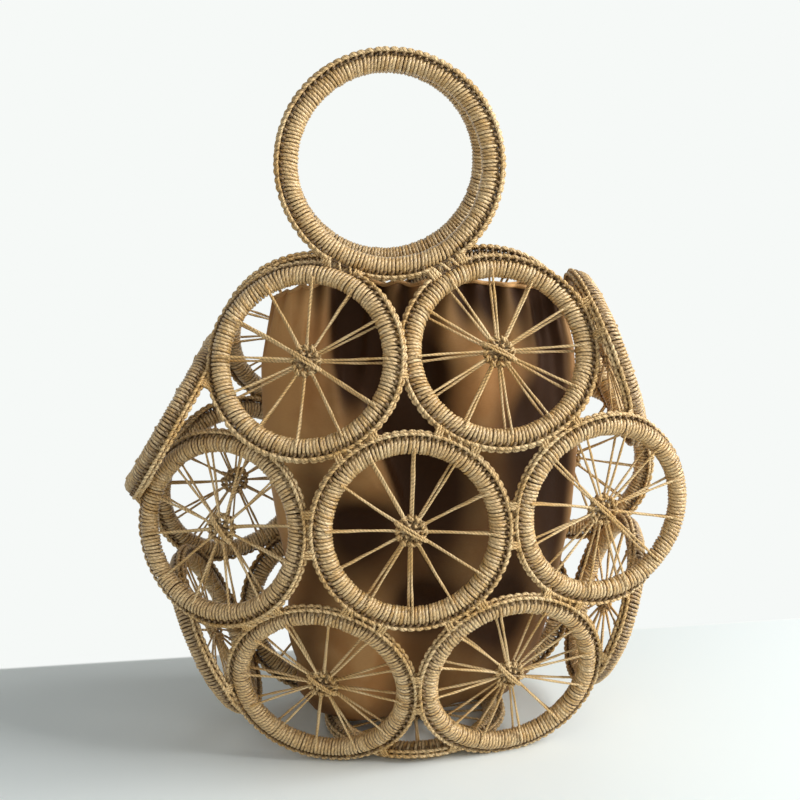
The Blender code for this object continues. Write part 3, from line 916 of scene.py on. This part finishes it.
def contact(one, other, radius, other_radius):
    """The nearest points of two hoops' centrelines."""
    turns = np.arange(72) * TAU / 72
    samples = [one @ Vector((radius * math.cos(a), radius * math.sin(a), 0)) for a in turns]
    point = min(samples, key=lambda p: (p - centre_point(other, p, other_radius)).length)
    for _ in range(60):
        point = centre_point(one, centre_point(other, point, other_radius), radius)
    return point, centre_point(other, point, other_radius)


def beside(place, point, step, radius, seat, tilts):
    """The point of the edging a step along from a point of the centreline."""
    local = place.inverted() @ point
    turn = math.atan2(local.y, local.x) + step / radius
    return Vector(ring_edge(place, radius, seat, np.array(turn), tilt_at(tilts, turn)).tolist())


def bound_turns(hoop_radius, handle_radius):
    """Where the handle lashings bind each edging down, as turns round its hoop."""
    tops = hoops()
    bound = {}
    for name, place in handles().items():
        for side in ("left", "right"):
            top = f"{name.split('_')[0]}_top_{side}"
            own, opposite = contact(tops[top], place, hoop_radius, handle_radius)
            for each, middle, point in ((top, tops[top], own), (name, place, opposite)):
                local = middle.inverted() @ point
                bound.setdefault(each, []).append(math.atan2(local.y, local.x))
    return bound


def add_lashing(work, one, other, sizes, tilts, seed, half_length=9.0 * mm):
    """Where two hoops meet: a loose zigzag between their edgings, and wraps pulled tight at each end."""
    chance = np.random.default_rng(seed)
    radius, other_radius, thickness = sizes
    seat = thickness / 2 + EDGING_SEAT
    own, opposite = contact(one, other, radius, other_radius)
    axis, other_axis = (each.to_3x3() @ Vector((0, 0, 1)) for each in (one, other))
    tangent = axis.cross(own - one.translation).normalized()
    sign = 1 if other_axis.cross(opposite - other.translation).dot(tangent) > 0 else -1
    outer = (axis + other_axis).normalized()

    def pair(step):
        a = beside(one, own, step, radius, seat, tilts[0])
        b = beside(other, opposite, sign * step, other_radius, seat, tilts[1])
        across = (a - b).normalized()
        up = (outer - across * outer.dot(across)).normalized()
        return (a + b) / 2, across, up, (a - b).length / 2

    turns = 3
    points = []
    for i in range(turns * 14 + 1):
        share = i / (turns * 14)
        middle, across, up, half = pair((share * 2 - 1) * half_length)
        swing = TAU * turns * share + seed
        wide = across * (half + 1.1 * mm) * math.cos(swing)
        points.append(middle + wide + up * 1.5 * mm * math.sin(swing))
    work.add([tuple(p) for p in points], LASHING_CORD, sides=6)
    loop = np.arange(16) * TAU / 16
    for end in (-1, 1):
        lean = chance.uniform(-0.5, 0.5)
        for wrap in range(3):
            middle, across, up, half = pair(end * (half_length + (wrap - 0.6) * 1.35 * mm))
            wide = half + 1.2 * mm
            points = [
                middle + across * wide * math.cos(a) + up * (1.75 * mm) * math.sin(a)
                + tangent * (lean * math.cos(a)) * mm
                for a in loop
            ]
            work.add([tuple(p) for p in points], LASHING_CORD, sides=6, closed=True)


def lashed_pairs():
    pairs = []
    for face in ("front_", "back_"):
        pairs += [(face + a, face + b) for a, b in PANEL_LASHINGS]
        for gusset, others in GUSSET_LASHINGS.items():
            pairs += [("gusset_" + gusset, face + other) for other in others]
    return pairs


def make_materials(scene):
    """The bag's finishes, made once and found again by name."""
    if "paper_cord" not in bpy.data.materials:
        twist = ply_twist_group()
        paper_cord(scene.bag_cord, twist)
        wound_cord(scene.bag_cord, twist)
        hoop_core()
        brown_satin(scene.bag_lining)
        pale_table(scene.bag_stage)
    return bpy.data.materials


def tilts_of(cord):
    return edging_tilts(cord.hoop_radius, cord.handle_radius, cord.winding_thickness)


def add_placed(name, mesh, place, material, *piece):
    """Add a mesh that was made in a hoop's own frame, at the hoop's place."""
    mesh.transform(place)
    return add_piece(name, mesh, material, *piece)


class BagOperator:
    """One step of making the bag, from the scene's settings"""

    def execute(self, context):
        self.make(context.scene, make_materials(context.scene))
        return {"FINISHED"}


class BAG_OT_windings(BagOperator, bpy.types.Operator):
    """Wind cord round every hoop of the panels and the gusset"""

    bl_idname = "paper_bag.windings"
    bl_label = "Wind the Hoops"

    def make(self, scene, materials):
        cord = scene.bag_cord
        sizes = (cord.hoop_radius, cord.winding_thickness, cord.cord_thickness)
        patterns = [winding(*sizes, cord.hoop_turns, seed).mesh("winding") for seed in (3, 17, 29)]
        core = core_mesh(*sizes)
        for number, (name, place) in enumerate(sorted(hoops().items())):
            turned = place @ Matrix.Rotation(2.4 * number, 4, "Z")
            rides = ("bag", [name + "_ring"])
            wound = patterns[number % 3].copy()
            add_placed(name + "_winding", wound, turned, materials["wound_cord"], *rides)
            add_placed(name + "_hoop", core.copy(), place, materials["hoop_core"], *rides)


class BAG_OT_webs(BagOperator, bpy.types.Operator):
    """Cross the doubled spokes of every web and knot their hubs"""

    bl_idname = "paper_bag.webs"
    bl_label = "Weave the Webs"

    def make(self, scene, materials):
        cord = scene.bag_cord
        sizes = (cord.hoop_radius, cord.winding_thickness, cord.spoke_count)
        patterns = [web(*sizes, seed).mesh("web") for seed in (5, 11, 23, 31)]
        flat = web(*sizes, 31, shallow=True).mesh("web")
        for number, (name, place) in enumerate(sorted(hoops().items())):
            woven = (flat if name == "gusset_base" else patterns[number % 4]).copy()
            turned = place @ Matrix.Rotation(web_turn(name, place, cord.spoke_count), 4, "Z")
            add_placed(name + "_spokes", woven, turned, materials["paper_cord"], "bag", [name + "_web"])


class BAG_OT_edgings(BagOperator, bpy.types.Operator):
    """Crochet the chain edging round every hoop"""

    bl_idname = "paper_bag.edgings"
    bl_label = "Crochet the Edgings"

    def make(self, scene, materials):
        cord = scene.bag_cord
        sizes = (cord.hoop_radius, cord.winding_thickness, cord.stitch_count)
        tilts = tilts_of(cord)
        bound = bound_turns(cord.hoop_radius, cord.handle_radius)
        for number, (name, place) in enumerate(sorted(hoops().items())):
            edging = chain_edging(*sizes, tilts[name], number, bound.get(name, ())).mesh("edging")
            add_placed(name + "_edging", edging, place, materials["paper_cord"])


class BAG_OT_lashings(BagOperator, bpy.types.Operator):
    """Lash neighbouring hoops to each other"""

    bl_idname = "paper_bag.lashings"
    bl_label = "Lash the Hoops"

    def make(self, scene, materials):
        cord = scene.bag_cord
        places = hoops()
        sizes = (cord.hoop_radius, cord.hoop_radius, cord.winding_thickness)
        tilts = tilts_of(cord)
        works = {}
        for number, (owner, other) in enumerate(lashed_pairs()):
            work = works.setdefault(owner, CordWork())
            both = (tilts[owner], tilts[other])
            add_lashing(work, places[owner], places[other], sizes, both, number)
        for owner, work in works.items():
            add_piece(owner + "_lashings", work.mesh("lashings"), materials["paper_cord"])


class BAG_OT_handles(BagOperator, bpy.types.Operator):
    """Wind and edge the two ring handles, and lash them to the top hoops"""

    bl_idname = "paper_bag.handles"
    bl_label = "Make the Handles"

    def make(self, scene, materials):
        cord = scene.bag_cord
        tilts = tilts_of(cord)
        bound = bound_turns(cord.hoop_radius, cord.handle_radius)
        sizes = (cord.handle_radius, cord.winding_thickness, cord.cord_thickness)
        for number, (name, place) in enumerate(handles().items()):
            wound = winding(*sizes, cord.handle_turns, 41 + number).mesh("winding")
            add_placed(name + "_winding", wound, place, materials["wound_cord"], name, [name])
            add_placed(name + "_hoop", core_mesh(*sizes), place, materials["hoop_core"], name, [name])
            stitches = cord.handle_stitch_count
            edging = chain_edging(*sizes[:2], stitches, tilts[name], 50 + number, bound[name])
            add_placed(name + "_edging", edging.mesh("edging"), place, materials["paper_cord"], name)
            for side in ("left", "right"):
                self.lash(name, place, side, cord, 60 + number, materials["paper_cord"])

    def lash(self, name, place, side, cord, seed, material):
        """Lash a handle to a top hoop, with cord that runs between the bag and the handle."""
        tilts = tilts_of(cord)
        top = name.replace("handle", "top_") + side
        ring = hoops()[top]
        radii = (cord.hoop_radius, cord.handle_radius)
        work = CordWork()
        both = (tilts[top], tilts[name])
        add_lashing(work, ring, place, (*radii, cord.winding_thickness), both, seed, 7.5 * mm)
        node = f"{name}_lashing_{side}"
        piece = add_piece(node + "_cords", work.mesh("lashing"), material, None, [node])
        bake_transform(piece)


def lining_level(height):
    """Half width and half depth of the lining at a height in millimetres."""
    heights, widths, depths = zip(*LINING_LEVELS)
    return np.interp(height, heights, widths) * mm, np.interp(height, heights, depths) * mm


def lining_mesh(settings, rows=110, columns=360):
    """The satin pouch: an oval tube in deep loose folds, gathered at its mouth, with its floor."""
    angle = np.arange(columns) * TAU / columns
    bottom, top = LINING_LEVELS[0][0], LINING_LEVELS[-1][0]
    corners = []
    creases = []
    for row in range(rows):
        share = row / (rows - 1)
        height = bottom + (top - bottom) * share
        half_width, half_depth = lining_level(height)
        drift = 0.45 * math.sin(2.2 * share * math.pi)
        fold = 0.5 - 0.5 * np.cos(LINING_FOLDS * angle + drift + 1.3 * np.sin(2 * angle + 3 * share))
        fine = 0.5 - 0.5 * np.cos(LINING_GATHERS * angle - 3 * drift + 2 * np.sin(3 * angle))
        gathers = 0.5 * fold**1.6 + 0.8 * fine * share**7
        inward = settings.fold_depth * gathers * (0.4 + 0.6 * share)
        inward = inward + settings.slack
        for middle, before, after, deep, level, down, up, slant in LINING_CREASES:
            turn = (np.degrees(angle) - middle - slant * (height - level) + 180) % 360 - 180
            wide = np.where(turn < 0, before, after)
            tall = down if height < level else up
            inward = inward + deep * mm * np.exp(-((turn / wide) ** 2) - ((height - level) / tall) ** 2)
        inward = np.clip(inward, 0.2 * mm * fold, half_depth * 0.66)
        sag = settings.sag * math.exp(-((max(height - SAG_HEIGHT, 0) / SAG_FADE) ** 2))
        sag *= 1 + 0.7 * max(SAG_HEIGHT - height, 0) / (SAG_HEIGHT - bottom)
        droop = DROOP_SHARE * settings.sag * math.exp(-(((height - bottom) / DROOP_FADE) ** 2))
        droop = droop * np.clip(0.3 - np.cos(angle), 0, 1)
        x = settings.shift + (half_width - LINING_INSET - inward * 0.3) * np.cos(angle)
        x -= sag * np.clip(-np.cos(angle), 0, 1) ** 0.8
        z = height * mm + 1.2 * mm * np.sin(5 * angle + 1) * share**4
        tucked = np.clip(np.cos(angle - TUCK_TURN), 0, 1) ** 3 * share**12
        z += tucked * settings.tuck * (0.85 + 0.15 * np.cos(LINING_GATHERS * angle))
        y = (half_depth + droop - LINING_INSET - inward) * np.sin(angle) * (1 - 0.12 * tucked)
        corners.append(np.stack((x, y, z), -1))
        # How far in the cloth lies, kept for the painted shade in its folds.
        creases.append(np.clip(inward / (18 * mm), 0, 1))
    corners = np.array(corners)
    girth = np.concatenate((corners[rows // 2], corners[rows // 2][:1]))
    wide = np.concatenate(([0], np.cumsum(np.linalg.norm(np.diff(girth, axis=0), axis=1))))
    tall = [corners[row][:, 2].mean() for row in range(rows)]
    faces = []
    uvs = []
    for row in range(rows - 1):
        low, high = row * columns, (row + 1) * columns
        for i in range(columns):
            j = (i + 1) % columns
            faces.append((low + i, low + j, high + j, high + i))
            uvs += [(wide[i], tall[row]), (wide[i + 1], tall[row])]
            uvs += [(wide[i + 1], tall[row + 1]), (wide[i], tall[row + 1])]
    floor = list(range(columns))[::-1]
    faces.append(floor)
    uvs += [tuple(corners[0][i][:2]) for i in floor]
    mesh = bpy.data.meshes.new("lining_cloth")
    mesh.from_pydata(corners.reshape(-1, 3).tolist(), [], faces)
    mesh.uv_layers.new(name="UVMap").uv.foreach_set("vector", np.array(uvs).ravel())
    mesh.attributes.new("crease", "FLOAT", "POINT").data.foreach_set("value", np.concatenate(creases))
    mesh.polygons.foreach_set("use_smooth", [True] * len(mesh.polygons))
    return mesh, corners[-1]


class BAG_OT_lining(BagOperator, bpy.types.Operator):
    """Hang the satin lining in the bag, with a rolled hem round its mouth"""

    bl_idname = "paper_bag.lining"
    bl_label = "Hang the Lining"

    def make(self, scene, materials):
        settings = scene.bag_lining
        satin = materials["brown_satin"]
        mesh, mouth = lining_mesh(settings)
        cloth = add_piece("lining_cloth", mesh, satin, stands_for=["lining"], slot="lining")
        wall = cloth.modifiers.new("Cloth", "SOLIDIFY")
        wall.thickness = settings.wall
        wall.offset = -1
        hem = CordWork()
        hem.add(mouth - np.array((0, 0, 0.6 * mm)), 1.15 * mm, sides=8, closed=True)
        rolled = add_piece("lining_hem", hem.mesh("hem"), satin, slot="lining")


class BAG_OT_stage(BagOperator, bpy.types.Operator):
    """Set the table, the window light and the camera"""

    bl_idname = "paper_bag.stage"
    bl_label = "Set the Stage"

    def make(self, scene, materials):
        settings = scene.bag_stage
        deselect()
        bpy.ops.mesh.primitive_plane_add(size=8.0)
        table = bpy.context.object
        table.name = "table"
        table.data.materials.append(materials["pale_table"])
        for name, (place, width) in LAMPS.items():
            self.add_lamp(name, place, width, getattr(settings, name))
        world = bpy.data.worlds.new("room")
        world.use_nodes = True
        scene.world = world
        tree = world.node_tree
        background = tree.nodes["Background"]
        daylight = settings.daylight
        bright = maths(tree, "MULTIPLY_ADD", seen_rays(tree), 1 - daylight, daylight)
        tree.links.new(bright, background.inputs["Strength"])
        background.inputs["Color"].default_value = (*settings.wall, 1)
        self.add_camera(scene)
        scene.view_settings.view_transform = "Standard"

    def add_lamp(self, name, place, width, power):
        deselect()
        bpy.ops.object.light_add(type="AREA", location=place)
        lamp = bpy.context.object
        lamp.name = name
        lamp.data.shape = "RECTANGLE"
        lamp.data.size = lamp.data.size_y = width
        lamp.data.energy = power
        aim = Vector((0, 0, 0.15)) - Vector(place)
        lamp.rotation_euler = aim.to_track_quat("-Z", "Y").to_euler()

    def add_camera(self, scene):
        bpy.ops.object.camera_add(location=CAMERA_PLACE)
        camera = bpy.context.object
        level = (CAMERA_AIM - CAMERA_PLACE).to_track_quat("-Z", "Y").to_matrix()
        camera.rotation_euler = (level @ Matrix.Rotation(CAMERA_ROLL, 3, "Z")).to_euler()
        camera.data.lens = CAMERA_LENS
        camera.data.sensor_width = 36.0
        camera.data.clip_start = 0.01
        scene.camera = camera


class BAG_PT_panel(bpy.types.Panel):
    """The bag's pieces, one button each"""

    bl_idname = "BAG_PT_panel"
    bl_label = "Paper Rope Bag"
    bl_space_type = "VIEW_3D"
    bl_region_type = "UI"
    bl_category = "Bag"

    def draw(self, context):
        for operator in OPERATORS:
            self.layout.operator(operator.bl_idname)
        for group in (getattr(context.scene, name) for name in SETTINGS):
            for name in group.bl_rna.properties.keys():
                if name not in ("rna_type", "name"):
                    self.layout.prop(group, name)


SETTINGS = {"bag_cord": BagCordSettings, "bag_lining": BagLiningSettings, "bag_stage": BagStageSettings}
OPERATORS = (
    BAG_OT_stage,
    BAG_OT_windings,
    BAG_OT_webs,
    BAG_OT_edgings,
    BAG_OT_lashings,
    BAG_OT_handles,
    BAG_OT_lining,
)


def register():
    for each in (*SETTINGS.values(), *OPERATORS, BAG_PT_panel):
        bpy.utils.register_class(each)
    for name, settings in SETTINGS.items():
        setattr(bpy.types.Scene, name, PointerProperty(type=settings))


def unregister():
    for name in SETTINGS:
        delattr(bpy.types.Scene, name)
    for each in reversed((*SETTINGS.values(), *OPERATORS, BAG_PT_panel)):
        bpy.utils.unregister_class(each)


def main():
    register()
    bpy.ops.paper_bag.stage()
    bpy.ops.paper_bag.windings()
    bpy.ops.paper_bag.webs()
    bpy.ops.paper_bag.edgings()
    bpy.ops.paper_bag.lashings()
    bpy.ops.paper_bag.handles()
    bpy.ops.paper_bag.lining()


if __name__ == "__main__":
    main()
